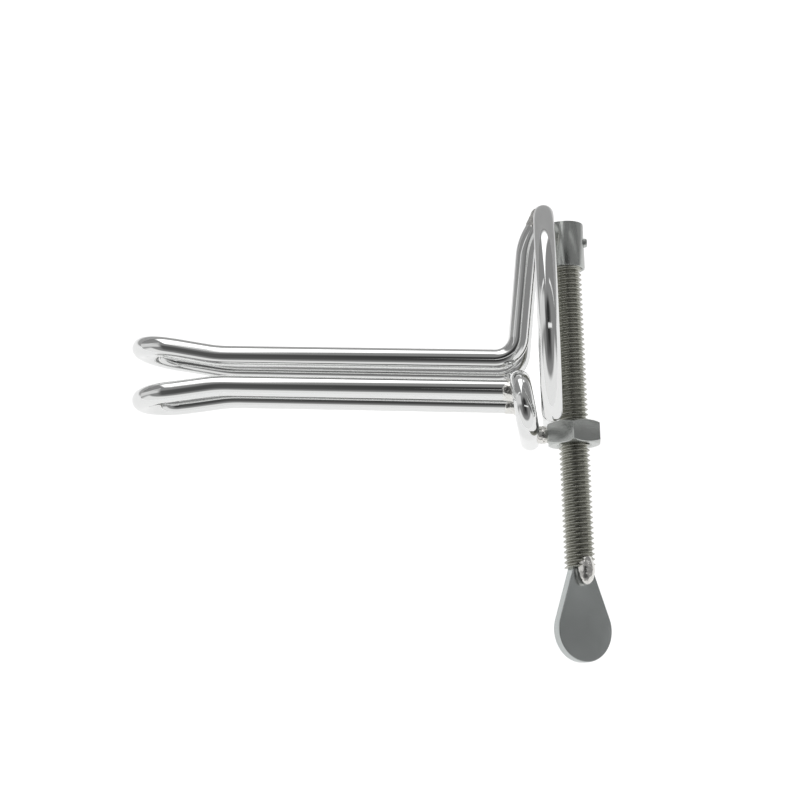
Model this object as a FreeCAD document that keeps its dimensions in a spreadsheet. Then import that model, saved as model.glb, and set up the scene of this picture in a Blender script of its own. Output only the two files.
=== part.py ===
"""A bivalve wire speculum, opened by a screw, lying on its side.

+X runs from the blade tips to the operator's side, +Y from the thumb tab along
the screw to the swivel sleeve, and +Z up from the surface it lies on.
Sizes are counted from the screw: x = 0 and z = 0 on its axis, and y = 0 midway
between the two blades at their roots. Each piece is placed with one common
offset, which puts the origin at the centre of the whole object.
Lengths are in millimetres and angles in degrees.
"""
import FreeCAD, Part
import math
import os

import Sketcher

SIZES = [
    ("wire_diameter", 4.0, "all four bent wires"),
    ("blade_reach", 75.2, "root corner to the middle of the tip bend, along X"),
    ("blade_gap", 1.9, "clear space between the closed blades"),
    ("blade_lean", 3.6, "rise of the blades towards their tips, against the screw"),
    ("root_spread", 13.5, "between the two legs of a blade at the root"),
    ("tip_spread", 9.8, "between the two legs of a blade at the tip bend"),
    ("flare_start", 17.0, "tip bend back to the first bend of the flare"),
    ("flare_run", 9.3, "length of the flare between its two bends"),
    ("flare_rise", 1.7, "how far a tip stands out from its leg"),
    ("flare_bend", 27.0, "radius of both bends of the flare"),
    ("root_back", 9.8, "screw axis to the root corner of the upper blade"),
    ("elbow_bend", 4.5, "radius of the bend from leg to riser"),
    ("riser_lean", 7.1, "lean of the risers towards the screw"),
    ("riser_height", 22.7, "root corner to the bend at the top of a riser"),
    ("riser_bend", 12.0, "radius of the bend at the top of a riser"),
    ("ring_back", 4.0, "screw axis to the plane of the ring"),
    ("ring_radius", 22.0, "middle of the wire"),
    ("ring_centre", 10.6, "centre of the ring above the blades"),
    ("ring_mouth", 63.0, "angle left open at the bottom of the ring"),
    ("loop_back", 9.2, "screw axis to the plane of the lower loop"),
    ("loop_width", 21.0, "middle of the wire, side to side"),
    ("loop_height", 10.4, "middle of the wire, bottom to top"),
    ("loop_drop", 6.1, "blades' middle plane down to the middle of the loop"),
    ("thread_diameter", 6.0, "outside of the screw"),
    ("running_gap", 0.05, "between the screw and its bores, on the radius"),
    ("sleeve_diameter", 8.0, "outside of the swivel sleeve"),
    ("sleeve_length", 9.5, "along the screw"),
    ("sleeve_cap", 1.9, "solid end of the sleeve above its bore"),
    ("sleeve_hang", 10.05, "middle of the ring's wire down to the sleeve's open end"),
    ("journal_gap", 0.4, "above the screw's end, inside the sleeve"),
    ("pin_diameter", 1.8, "retaining pin"),
    ("pin_height", 4.9, "sleeve's open end to the pin's axis"),
    ("pin_stand_out", 0.4, "length of pin outside the sleeve"),
    ("groove_depth", 1.0, "cut into the screw for the pin's tip"),
    ("groove_side_gap", 0.2, "each side of the pin in its groove"),
    ("groove_floor_gap", 0.25, "pin's tip to the floor of the groove"),
    ("nut_flats", 10.0, "across the flats of the nut"),
    ("nut_height", 5.0, "along the screw"),
    ("nut_top", -8.0, "height of the nut's upper face"),
    ("nut_face", 9.6, "diameter of the nut's flat end faces"),
    ("nut_chamfer", 0.6, "depth of the corner chamfers, at 30 degrees"),
    ("bore_chamfer", 0.4, "countersink of the nut's bore"),
    ("thread_end", -35.1, "height of the screw's lower end"),
    ("end_chamfer", 0.5, "at the screw's upper end"),
    ("tab_thickness", 2.0, "plate of the thumb tab"),
    ("tab_radius", 6.1, "round end of the thumb tab"),
    ("tab_length", 13.2, "screw's end to the centre of the round end"),
    ("tab_neck", 5.0, "width of the tab where it meets the screw"),
    ("tab_turn", 35.0, "turn of the tab about the screw"),
    ("tab_edge", 0.25, "broken edge round the tab"),
    ("braze_length", 6.4, "bead where the tab meets the screw"),
    ("braze_width", 3.4, "width of that bead"),
    ("braze_out", 1.7, "middle of that bead in front of the tab's middle plane"),
    ("braze_aside", 0.8, "middle of that bead beside the screw's axis"),
    ("weld_swell", 0.6, "how far a weld stands out round its wire"),
    ("weld_lip", 0.15, "thickness of a weld at its thin edge"),
    ("weld_length", 1.2, "length of a weld in front of the wire it joins"),
]

os.makedirs("parts", exist_ok=True)
doc = FreeCAD.newDocument("speculum")
sheet = doc.addObject("Spreadsheet::Sheet", "sizes")
for row, (alias, value, note) in enumerate(SIZES, start=1):
    sheet.set("A%d" % row, alias)
    sheet.set("B%d" % row, str(value))
    sheet.set("C%d" % row, note)
    sheet.setAlias("B%d" % row, alias)
doc.recompute()


def size(alias):
    """One driving dimension, as a number."""
    return float(sheet.get(alias))


def bind(thing, **sizes):
    """Tie properties of an object to formulas over the sheet's aliases."""
    for name, formula in sizes.items():
        thing.setExpression(name, formula)
    return thing


def cell(formula):
    """Write a formula over the aliases as the expression engine wants it."""
    return formula.replace("$", "sizes.")


def tab_half_reach():
    """How far the turned thumb tab reaches from the screw's axis along X."""
    turn = math.radians(size("tab_turn"))
    half = size("tab_thickness") / 2
    edge = size("tab_edge")
    rim = size("tab_radius") * math.cos(turn) + (half - edge) * math.sin(turn)
    face = (size("tab_radius") - edge) * math.cos(turn) + half * math.sin(turn)
    return max(rim, face)


def middle_of_object():
    """The centre of the whole object's box, measured from the screw's own zero."""
    front = -size("root_back") - size("blade_reach") - size("wire_diameter") / 2
    back = max(tab_half_reach(), size("nut_flats") / 2)
    top = size("ring_centre") + size("ring_radius") + size("wire_diameter") / 2
    bottom = size("thread_end") - size("tab_length") - size("tab_radius")
    return FreeCAD.Vector((front + back) / 2, (top + bottom) / 2, 0)


HOME = -middle_of_object()


def place(thing, spot, turn=None):
    """Put an object at a spot that is measured from the screw."""
    rotation = turn if turn else FreeCAD.Rotation()
    thing.Placement = FreeCAD.Placement(HOME + spot, rotation)
    return thing


def along(direction):
    """The turn that takes the local Z axis to a direction."""
    return FreeCAD.Rotation(FreeCAD.Vector(0, 0, 1), direction)


ALONG_X = along(FreeCAD.Vector(1, 0, 0))
ALONG_Y = along(FreeCAD.Vector(0, 1, 0))

WIRE_RADIUS = cell("$wire_diameter / 2")


def cylinder(name, radius, height, base, turn=ALONG_Y):
    rod = doc.addObject("Part::Cylinder", name)
    bind(rod, Radius=cell(radius), Height=cell(height))
    return place(rod, base, turn)


def cone(name, start_radius, end_radius, height, base, turn=ALONG_Y):
    frustum = doc.addObject("Part::Cone", name)
    bind(frustum, Radius1=cell(start_radius), Radius2=cell(end_radius), Height=cell(height))
    return place(frustum, base, turn)


def cut(name, base, *tools):
    result = base
    for number, tool in enumerate(tools, start=1):
        step = doc.addObject("Part::Cut", name if number == len(tools) else "%s_%d" % (name, number))
        step.Base = result
        step.Tool = tool
        result = step
    return result


def fuse(name, *shapes):
    joined = doc.addObject("Part::MultiFuse", name)
    joined.Shapes = list(shapes)
    return joined


def bent_path(corners, radii):
    """Straight runs joined by tangent arcs, one radius for each inner corner."""
    edges = []
    start = corners[0]
    for before, corner, after, radius in zip(corners, corners[1:], corners[2:], radii):
        back = (before - corner).normalize()
        onward = (after - corner).normalize()
        half_angle = back.getAngle(onward) / 2
        middle = (back + onward).normalize()
        reach = radius / math.tan(half_angle)
        arc_start = corner + back * reach
        arc_end = corner + onward * reach
        centre = corner + middle * (radius / math.sin(half_angle))
        if (arc_start - start).Length > 1e-6:
            edges.append(Part.LineSegment(start, arc_start).toShape())
        edges.append(Part.Arc(arc_start, centre - middle * radius, arc_end).toShape())
        start = arc_end
    if (corners[-1] - start).Length > 1e-6:
        edges.append(Part.LineSegment(start, corners[-1]).toShape())
    return Part.Wire(edges)


def wire_rod(name, corners, radii):
    """A bent wire: a round section swept along its path."""
    path = doc.addObject("Part::Feature", name + "_path")
    path.Shape = bent_path(corners, radii)
    place(path, FreeCAD.Vector())
    section = bind(doc.addObject("Part::Circle", name + "_section"), Radius=WIRE_RADIUS)
    place(section, corners[0], along(corners[1] - corners[0]))
    rod = doc.addObject("Part::Sweep", name)
    rod.Sections = [section]
    rod.Spine = (path, ["Edge%d" % number for number in range(1, len(path.Shape.Edges) + 1)])
    rod.Solid = True
    rod.Frenet = False
    return rod


def mirrored(corners):
    """The same corners on the other side of the middle plane, in return order."""
    return [FreeCAD.Vector(corner.x, corner.y, -corner.z) for corner in reversed(corners)]


wire_radius = size("wire_diameter") / 2
blade_offset = (size("blade_gap") + size("wire_diameter")) / 2
root_x = -size("root_back")
tip_x = root_x - size("blade_reach")
lean_slope = math.tan(math.radians(size("blade_lean")))
ring_x = -size("ring_back")
loop_x = -size("loop_back")


def leg_corner(x, side, stand_out):
    """A point of a blade's leg on the +Z side; side is 1 above and -1 below."""
    share = (root_x - x) / size("blade_reach")
    spread = size("root_spread") + (size("tip_spread") - size("root_spread")) * share
    height = side * (blade_offset + stand_out) + (root_x - x) * lean_slope
    return FreeCAD.Vector(x, height, spread / 2)


def tip_corners(side):
    """The flare's two bends and the corner of the tip bend."""
    flare_x = tip_x + size("flare_start")
    flared_x = flare_x - size("flare_run")
    return [
        leg_corner(flare_x, side, 0),
        leg_corner(flared_x, side, size("flare_rise")),
        leg_corner(tip_x, side, size("flare_rise")),
    ]


def tip_bend_radius(side):
    """The radius with which the two quarter bends meet in the middle."""
    flared, corner = tip_corners(side)[1:]
    across = FreeCAD.Vector(0, 0, -1)
    return corner.z * math.tan((flared - corner).getAngle(across) / 2)


def blade_radii(side):
    return [size("flare_bend"), size("flare_bend"), tip_bend_radius(side)]


def ring_height_at(z):
    """Height of the ring's upper half at a distance from the middle plane."""
    return size("ring_centre") + math.sqrt(size("ring_radius") ** 2 - z ** 2)


def make_ring():
    """The open ring that carries the sleeve; its two free ends are round."""
    hoop = bind(
        doc.addObject("Part::Torus", "ring_hoop"),
        Radius1=cell("$ring_radius"),
        Radius2=WIRE_RADIUS,
        Angle3=cell("360 - $ring_mouth"),
    )
    half_mouth = math.radians(size("ring_mouth") / 2)
    to_end = FreeCAD.Vector(0, -math.cos(half_mouth), math.sin(half_mouth))
    axis = FreeCAD.Vector(-1, 0, 0)
    centre = FreeCAD.Vector(ring_x, size("ring_centre"), 0)
    place(hoop, centre, FreeCAD.Rotation(to_end, axis.cross(to_end), axis, "ZXY"))
    ends = []
    for name, side in (("near", 1), ("far", -1)):
        ball = bind(doc.addObject("Part::Sphere", "ring_end_" + name), Radius=WIRE_RADIUS)
        spot = FreeCAD.Vector(0, to_end.y, side * to_end.z) * size("ring_radius")
        ends.append(place(ball, centre + spot))
    return fuse("frame_ring", hoop, *ends)


def riser_corners():
    """From the ring down to the root corner, on the +Z side."""
    root = leg_corner(root_x, 1, 0)
    bend_x = root.x + size("riser_height") * math.tan(math.radians(size("riser_lean")))
    bend = FreeCAD.Vector(bend_x, root.y + size("riser_height"), root.z)
    top = FreeCAD.Vector(ring_x, ring_height_at(root.z), root.z)
    return [top, bend, root]


def make_upper_blade(ring):
    """Hairpin, elbows and risers in one wire, coped to the ring at both ends."""
    near_side = riser_corners() + tip_corners(1)
    radii = [size("riser_bend"), size("elbow_bend")] + blade_radii(1)
    rod = wire_rod("upper_wire", near_side + mirrored(near_side), radii + radii[::-1])
    return cut("upper_blade", rod, ring)


def make_lower_loop():
    """A closed oval ring of wire, made as two halves that meet at the middle."""
    half_width = size("loop_width") / 2
    top = size("loop_height") / 2 - size("loop_drop")
    bottom = -size("loop_height") / 2 - size("loop_drop")
    near_side = [
        FreeCAD.Vector(loop_x, top, 0),
        FreeCAD.Vector(loop_x, top, half_width),
        FreeCAD.Vector(loop_x, bottom, half_width),
        FreeCAD.Vector(loop_x, bottom, 0),
    ]
    bend = size("loop_height") / 2
    near_half = wire_rod("loop_near", near_side, [bend, bend])
    far_side = [FreeCAD.Vector(corner.x, corner.y, -corner.z) for corner in near_side]
    far_half = wire_rod("loop_far", far_side, [bend, bend])
    return fuse("lower_loop", near_half, far_half)


def make_lower_blade(loop):
    """A plain hairpin whose legs are coped to the loop."""
    near_side = [leg_corner(loop_x, -1, 0)] + tip_corners(-1)
    radii = blade_radii(-1)
    rod = wire_rod("lower_wire", near_side + mirrored(near_side), radii + radii[::-1])
    return cut("lower_blade", rod, loop)


def on_screw(height):
    return FreeCAD.Vector(0, height, 0)


def sleeve_foot():
    """Height of the sleeve's open end; the sleeve hangs from the top of the ring."""
    return size("ring_centre") + size("ring_radius") - size("sleeve_hang")


def make_sleeve(ring):
    """The swivel sleeve: a blind bore, a pin hole and a saddle for the ring."""
    foot = sleeve_foot()
    outside = cylinder("sleeve_outside", "$sleeve_diameter / 2", "$sleeve_length", on_screw(foot))
    bore = cylinder(
        "sleeve_bore",
        "$thread_diameter / 2 + $running_gap",
        "$sleeve_length - $sleeve_cap",
        on_screw(foot),
    )
    pin_seat = cylinder(
        "sleeve_pin_hole",
        "$pin_diameter / 2",
        "$sleeve_diameter",
        on_screw(foot + size("pin_height")),
        ALONG_X,
    )
    return cut("swivel_sleeve", outside, bore, pin_seat, ring)


def make_pin():
    """The dog pin that holds the screw's end in the sleeve and lets it turn."""
    floor = size("thread_diameter") / 2 - size("groove_depth")
    tip = floor + size("groove_floor_gap")
    base = FreeCAD.Vector(tip, sleeve_foot() + size("pin_height"), 0)
    outside = "$sleeve_diameter / 2 + $pin_stand_out"
    inside = "$thread_diameter / 2 - $groove_depth + $groove_floor_gap"
    return cylinder("retaining_pin", "$pin_diameter / 2", "%s - (%s)" % (outside, inside), base, ALONG_X)


def make_spindle():
    """The screw at its outside diameter, with the groove for the pin."""
    end = size("thread_end")
    top = sleeve_foot() + size("sleeve_length") - size("sleeve_cap") - size("journal_gap")
    chamfer = size("end_chamfer")
    bore_end = "$ring_centre + $ring_radius - $sleeve_hang + $sleeve_length - $sleeve_cap"
    length = bore_end + " - $journal_gap - $end_chamfer - $thread_end"
    shank = cylinder("spindle_shank", "$thread_diameter / 2", length, on_screw(end))
    nose = cone(
        "spindle_nose",
        "$thread_diameter / 2",
        "$thread_diameter / 2 - $end_chamfer",
        "$end_chamfer",
        on_screw(top - chamfer),
    )
    groove_width = "$pin_diameter + 2 * $groove_side_gap"
    core_radius = "$thread_diameter / 2 - $groove_depth"
    pin_axis = sleeve_foot() + size("pin_height")
    groove_foot = on_screw(pin_axis - size("pin_diameter") / 2 - size("groove_side_gap"))
    band = cylinder("groove_band", "$thread_diameter", groove_width, groove_foot)
    core = cylinder("groove_core", core_radius, groove_width, groove_foot)
    blank = fuse("spindle_blank", shank, nose)
    return cut("threaded_spindle", blank, cut("spindle_groove", band, core))


def make_nut():
    """A hexagon nut with chamfered corners and a countersunk running bore."""
    top = size("nut_top")
    foot = top - size("nut_height")
    hexagon = bind(
        doc.addObject("Part::Prism", "nut_hexagon"),
        Circumradius=cell("$nut_flats / 2 / cos(30)"),
        Height=cell("$nut_height"),
    )
    hexagon.Polygon = 6
    corner_up = FreeCAD.Vector(0, 0, 1)
    screw_axis = FreeCAD.Vector(0, 1, 0)
    turned = FreeCAD.Rotation(corner_up, screw_axis.cross(corner_up), screw_axis, "ZXY")
    place(hexagon, on_screw(foot), turned)
    face_radius = "$nut_face / 2"
    full_radius = "$nut_face / 2 + $nut_chamfer / tan(30)"
    drum = fuse(
        "nut_drum",
        cone("nut_foot_cone", face_radius, full_radius, "$nut_chamfer", on_screw(foot)),
        cylinder(
            "nut_waist",
            full_radius,
            "$nut_height - 2 * $nut_chamfer",
            on_screw(foot + size("nut_chamfer")),
        ),
        cone("nut_top_cone", full_radius, face_radius, "$nut_chamfer", on_screw(top - size("nut_chamfer"))),
    )
    body = doc.addObject("Part::Common", "nut_body")
    body.Base = hexagon
    body.Tool = drum
    bore_radius = "$thread_diameter / 2 + $running_gap"
    wide_radius = "$thread_diameter / 2 + $running_gap + $bore_chamfer"
    bore = cylinder("nut_bore", bore_radius, "$nut_height", on_screw(foot))
    low_mouth = cone("nut_low_mouth", wide_radius, bore_radius, "$bore_chamfer", on_screw(foot))
    high_mouth = cone(
        "nut_high_mouth", bore_radius, wide_radius, "$bore_chamfer", on_screw(top - size("bore_chamfer"))
    )
    return cut("hex_nut", body, fuse("nut_tools", bore, low_mouth, high_mouth))


def make_tab():
    """The teardrop thumb plate, sketched on the plane of the screw and padded both ways."""
    body = doc.addObject("PartDesign::Body", "thumb_tab")
    sketch = body.newObject("Sketcher::SketchObject", "tab_outline")
    plane = [feature for feature in body.Origin.OriginFeatures if feature.Role == "XY_Plane"][0]
    sketch.AttachmentSupport = (plane, [""])
    sketch.MapMode = "FlatFace"
    radius = size("tab_radius")
    neck = size("tab_neck") / 2
    fall = size("tab_length")
    distance = math.hypot(neck, fall)
    touch = math.atan2(fall, neck) - math.acos(radius / distance)
    right = FreeCAD.Vector(radius * math.cos(touch), radius * math.sin(touch) - fall, 0)
    left = FreeCAD.Vector(-right.x, right.y, 0)
    centre = FreeCAD.Vector(0, -fall, 0)
    circle = Part.Circle(centre, FreeCAD.Vector(0, 0, 1), radius)
    round_end = sketch.addGeometry(Part.ArcOfCircle(circle, math.pi - touch, 2 * math.pi + touch))
    right_side = sketch.addGeometry(Part.LineSegment(right, FreeCAD.Vector(neck, 0, 0)))
    top_edge = sketch.addGeometry(Part.LineSegment(FreeCAD.Vector(neck, 0, 0), FreeCAD.Vector(-neck, 0, 0)))
    left_side = sketch.addGeometry(Part.LineSegment(FreeCAD.Vector(-neck, 0, 0), left))
    constrain = Sketcher.Constraint
    sketch.addConstraint(constrain("Tangent", round_end, 2, right_side, 1))
    sketch.addConstraint(constrain("Coincident", right_side, 2, top_edge, 1))
    sketch.addConstraint(constrain("Coincident", top_edge, 2, left_side, 1))
    sketch.addConstraint(constrain("Tangent", left_side, 2, round_end, 1))
    sketch.addConstraint(constrain("Symmetric", top_edge, 1, top_edge, 2, -1, 1))
    driving = (
        ("radius", constrain("Radius", round_end, radius), "$tab_radius"),
        ("neck", constrain("Distance", top_edge, 2 * neck), "$tab_neck"),
        ("fall", constrain("DistanceY", round_end, 3, -1, 1, fall), "$tab_length"),
    )
    for name, constraint, formula in driving:
        number = sketch.addConstraint(constraint)
        sketch.renameConstraint(number, name)
        sketch.setExpression("Constraints." + name, cell(formula))
    sketch.addConstraint(constrain("PointOnObject", round_end, 3, -2))
    pad = body.newObject("PartDesign::Pad", "tab_plate")
    pad.Profile = sketch
    pad.Midplane = True
    bind(pad, Length=cell("$tab_thickness"))
    doc.recompute()
    edges = ["Edge%d" % number for number, edge in enumerate(pad.Shape.Edges, start=1) if is_rim(edge)]
    broken = body.newObject("PartDesign::Chamfer", "tab_broken_edge")
    broken.Base = (pad, edges)
    bind(broken, Size=cell("$tab_edge"))
    body.Tip = broken
    turn = FreeCAD.Rotation(FreeCAD.Vector(0, 1, 0), size("tab_turn"))
    return place(body, on_screw(size("thread_end")), turn)


def is_rim(edge):
    """An edge of the plate's two faces, apart from the neck that meets the screw."""
    box = edge.BoundBox
    flat = box.ZLength < 1e-6
    return flat and box.YMin < -1e-3


def bead(name, reaches, centre, *neighbours):
    """A braze bead: an ellipsoid less the pieces that it joins."""
    along_x, along_y, along_z = reaches
    blob = doc.addObject("Part::Ellipsoid", name + "_blob")
    bind(blob, Radius1=cell(along_z), Radius2=cell(along_x), Radius3=cell(along_y))
    return cut(name, place(blob, centre), *neighbours)


def collar(name, joint, before, *neighbours):
    """A weld round a wire's end: it widens to the joint, less the wires that meet there."""
    onward = (joint - before).normalize()
    base = joint - onward * (wire_radius + size("weld_length"))
    ring_of_weld = cone(
        name + "_cone",
        "$wire_diameter / 2 + $weld_lip",
        "$wire_diameter / 2 + $weld_swell",
        "$wire_diameter / 2 + $weld_length",
        base,
        along(onward),
    )
    return cut(name, ring_of_weld, *neighbours)


def both_sides(name, joint, before, *neighbours):
    """The same weld on the near and the far side, as one node."""
    welds = []
    for side_name, side in (("near", 1), ("far", -1)):
        end = FreeCAD.Vector(joint.x, joint.y, side * joint.z)
        start = FreeCAD.Vector(before.x, before.y, side * before.z)
        welds.append(collar("%s_%s" % (name, side_name), end, start, *neighbours))
    return fuse(name, *welds)


def make_riser_welds(ring, upper_blade):
    top, bend = riser_corners()[:2]
    return both_sides("riser_welds", top, bend, ring, upper_blade)


def make_loop_welds(loop, lower_blade):
    foot = leg_corner(loop_x, -1, 0)
    return both_sides("loop_welds", foot, tip_corners(-1)[0], loop, lower_blade)


def make_sleeve_braze(ring, sleeve_outside):
    """The fillet of braze under the ring, where the sleeve is saddled on it."""
    top_wire = size("ring_centre") + size("ring_radius")
    centre = FreeCAD.Vector(ring_x, top_wire - wire_radius, 0)
    reaches = (
        "$wire_diameter / 2 - $weld_lip",
        "$wire_diameter / 2 + $weld_swell",
        "$sleeve_diameter / 2 - $weld_swell",
    )
    return bead("sleeve_braze", reaches, centre, ring, sleeve_outside)


def make_nut_braze(loop):
    """The braze that fills the space between the loop's bottom bar and the nut."""
    bar_height = -size("loop_height") / 2 - size("loop_drop")
    plug = cone(
        "nut_braze_plug",
        "$wire_diameter / 2 - $weld_lip",
        "$wire_diameter / 2",
        "$loop_back - $nut_flats / 2",
        FreeCAD.Vector(loop_x, bar_height, 0),
        ALONG_X,
    )
    return cut("nut_braze", plug, loop)


def make_tab_braze(spindle, tab):
    """A long bead laid over the joint of the screw and the thumb tab."""
    turn = math.radians(size("tab_turn"))
    face = FreeCAD.Vector(math.sin(turn), 0, math.cos(turn))
    across = FreeCAD.Vector(math.cos(turn), 0, -math.sin(turn))
    out = face * size("braze_out") + across * size("braze_aside")
    reaches = ("$braze_width / 2", "$braze_length / 2", "$braze_width / 2")
    return bead("tab_braze", reaches, out + on_screw(size("thread_end")), spindle, tab)


ring = make_ring()
upper_blade = make_upper_blade(ring)
loop = make_lower_loop()
lower_blade = make_lower_blade(loop)
sleeve = make_sleeve(ring)
pin = make_pin()
spindle = make_spindle()
nut = make_nut()
tab = make_tab()
pieces = [
    upper_blade,
    ring,
    make_riser_welds(ring, upper_blade),
    sleeve,
    make_sleeve_braze(ring, doc.getObject("sleeve_outside")),
    pin,
    spindle,
    tab,
    make_tab_braze(spindle, tab),
    lower_blade,
    loop,
    make_loop_welds(loop, lower_blade),
    nut,
    make_nut_braze(loop),
]
doc.recompute()

for thing in doc.Objects:
    if "Invalid" in thing.State or "Error" in thing.State:
        raise RuntimeError("%s did not build: %s" % (thing.Name, thing.State))

for piece in pieces:
    piece.Label = piece.Name
    if piece.Shape.isNull() or not piece.Shape.isValid():
        raise RuntimeError("%s has no sound shape" % piece.Label)

for piece in pieces:
    piece.Shape.exportStep("parts/%s.step" % piece.Label)
    print("%-17s %d solid(s), %8.2f cubic mm" % (piece.Label, len(piece.Shape.Solids), piece.Shape.Volume))
print("screw's zero in the object's frame:", HOME)
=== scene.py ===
"""Looks of a bivalve wire speculum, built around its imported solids.

The four bent wires, the threaded screw, the nut, the sleeve with its pin, the
thumb tab and the weld and braze beads are made as smooth meshes in the places
of the solids. Lengths below are in millimetres from the screw's zero: x = 0 and
z = 0 on the screw's axis, y = 0 midway between the two blades at their roots.
"""

import math

import bmesh
import bpy
from mathutils import Matrix, Vector, noise


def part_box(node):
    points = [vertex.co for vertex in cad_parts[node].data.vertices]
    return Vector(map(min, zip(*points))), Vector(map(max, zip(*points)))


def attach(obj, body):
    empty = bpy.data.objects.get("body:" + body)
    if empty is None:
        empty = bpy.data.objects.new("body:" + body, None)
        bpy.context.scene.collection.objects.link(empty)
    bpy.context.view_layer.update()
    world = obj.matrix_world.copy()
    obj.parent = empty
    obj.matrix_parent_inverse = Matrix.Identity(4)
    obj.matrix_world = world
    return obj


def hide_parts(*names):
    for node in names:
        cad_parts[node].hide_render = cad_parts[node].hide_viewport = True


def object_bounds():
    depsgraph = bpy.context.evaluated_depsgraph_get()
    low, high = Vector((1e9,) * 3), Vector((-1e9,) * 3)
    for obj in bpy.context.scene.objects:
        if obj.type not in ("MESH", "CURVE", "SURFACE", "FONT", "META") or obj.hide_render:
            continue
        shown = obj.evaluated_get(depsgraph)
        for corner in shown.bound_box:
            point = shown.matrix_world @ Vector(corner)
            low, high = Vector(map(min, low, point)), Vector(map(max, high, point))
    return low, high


bl_info = {
    "name": "Bivalve wire speculum",
    "version": (1, 0, 0),
    "blender": (4, 5, 0),
    "location": "3D View > Sidebar > Speculum",
    "description": "Polished wire frames, screw, nut, sleeve, thumb tab and welds of a wire speculum",
    "category": "Object",
}

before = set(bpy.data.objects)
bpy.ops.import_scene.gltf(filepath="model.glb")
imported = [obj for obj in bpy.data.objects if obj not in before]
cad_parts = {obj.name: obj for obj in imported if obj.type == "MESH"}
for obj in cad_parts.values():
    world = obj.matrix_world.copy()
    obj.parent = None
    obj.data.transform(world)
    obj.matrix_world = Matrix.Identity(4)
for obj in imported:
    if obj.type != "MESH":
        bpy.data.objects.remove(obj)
cad_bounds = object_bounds()

MM = 0.001
PIECES = "Speculum pieces"

# Lengths in millimetres: the wires
WIRE_RADIUS = 2.0
ROOT_X = -10.3
BLADE_REACH = 74.7
BLADE_OFFSET = 2.95
LEAN = math.tan(math.radians(3.6))
ROOT_SPREAD, TIP_SPREAD = 13.5, 13.0
FLARE_START, FLARE_RUN, FLARE_BEND = 16.4, 8.3, 27.0
FLARE_RISE, TIP_RISE = 1.3, 2.35
ELBOW_BEND, RISER_BEND = 4.5, 12.0
RISER_HEIGHT, RISER_LEAN = 22.7, 7.1
RING_X, RING_Y, RING_RADIUS, RING_MOUTH = -4.0, 10.6, 22.0, 63.0
LOOP_X, LOOP_Y, LOOP_WIDTH, LOOP_HEIGHT = -9.2, -5.8, 21.0, 9.8
LOOP_LEAN = math.radians(8.0)

# Lengths in millimetres: the screw, the sleeve, the nut and the tab
SCREW_RADIUS = 3.0
SOLID_THREAD_END, THREAD_END = -35.1, -36.6
SLEEVE_FOOT, SLEEVE_LENGTH, SLEEVE_RADIUS = 22.1, 9.1, 3.75
BORE_RADIUS, SLEEVE_CAP, JOURNAL_TOP = 3.05, 1.2, 29.75
PIN_RADIUS, PIN_HEIGHT, PIN_END, PIN_TIP = 0.9, 27.45, 4.4, 2.25
GROOVE_SIDE_GAP, GROOVE_RADIUS = 0.2, 2.0
NUT_TOP, NUT_HEIGHT, NUT_FLATS, NUT_FACE = -8.6, 4.4, 10.0, 4.8
NUT_CHAMFER, BORE_CHAMFER, DRUM_GAP = 0.6, 0.4, 0.001
TAB_RADIUS, TAB_FALL, TAB_NECK, TAB_THICK = 6.1, 11.7, 2.2, 2.0
TAB_TURN = math.radians(35.0)


def screw_zero():
    """The point on the screw's axis from which the lengths are counted, in metres."""
    low, high = (Vector(corner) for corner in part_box("threaded_spindle"))
    return Vector(((low.x + high.x) / 2, low.y - SOLID_THREAD_END * MM, (low.z + high.z) / 2))


ZERO = screw_zero()


# ---------------------------------------------------------------- settings

def length(name, description, default):
    return bpy.props.FloatProperty(
        name=name, description=description, default=default, min=0.0, precision=5,
        subtype="DISTANCE", unit="LENGTH",
    )


def share(name, description, default, top=1.0):
    return bpy.props.FloatProperty(
        name=name, description=description, default=default, min=0.0, max=top, subtype="FACTOR",
    )


def colour(name, description, default):
    return bpy.props.FloatVectorProperty(
        name=name, description=description, default=default, size=3, min=0.0, max=1.0, subtype="COLOR",
    )


class SpeculumSizes(bpy.types.PropertyGroup):
    thread_pitch: length("Thread pitch", "Height of one turn of the screw's thread", 0.001)
    thread_depth: length("Thread depth", "Crest of the thread to its root", 0.00058)
    edge_round: length("Edge rounding", "Rounding of the nut's and the tab's edges", 0.00022)
    bead_lumps: length("Bead lumps", "Height of the lumps on welds and braze", 0.00022)
    bead_grain: length("Bead grain", "Width of the lumps on welds and braze", 0.0011)


class SpeculumFinish(bpy.types.PropertyGroup):
    wire_colour: colour("Wire", "Mirror-polished steel wire", (0.80, 0.805, 0.80))
    wire_gloss: share("Wire roughness", "Roughness of the polished wire", 0.055)
    screw_colour: colour("Screw", "Cut thread of the screw", (0.42, 0.42, 0.38))
    screw_gloss: share("Screw roughness", "Roughness of the thread's flanks", 0.26)
    sleeve_colour: colour("Sleeve and nut", "Turned steel of the sleeve and the nut", (0.49, 0.505, 0.49))
    sleeve_gloss: share("Sleeve roughness", "Roughness of the turned steel", 0.22)
    tab_colour: colour("Thumb tab", "Satin plate of the thumb tab", (0.50, 0.525, 0.52))
    tab_gloss: share("Tab roughness", "Roughness of the thumb tab's faces", 0.24)
    braze_colour: colour("Weld and braze", "Bright filler of the joints", (0.84, 0.83, 0.80))
    braze_gloss: share("Braze roughness", "Roughness of the filler", 0.12)


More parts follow.
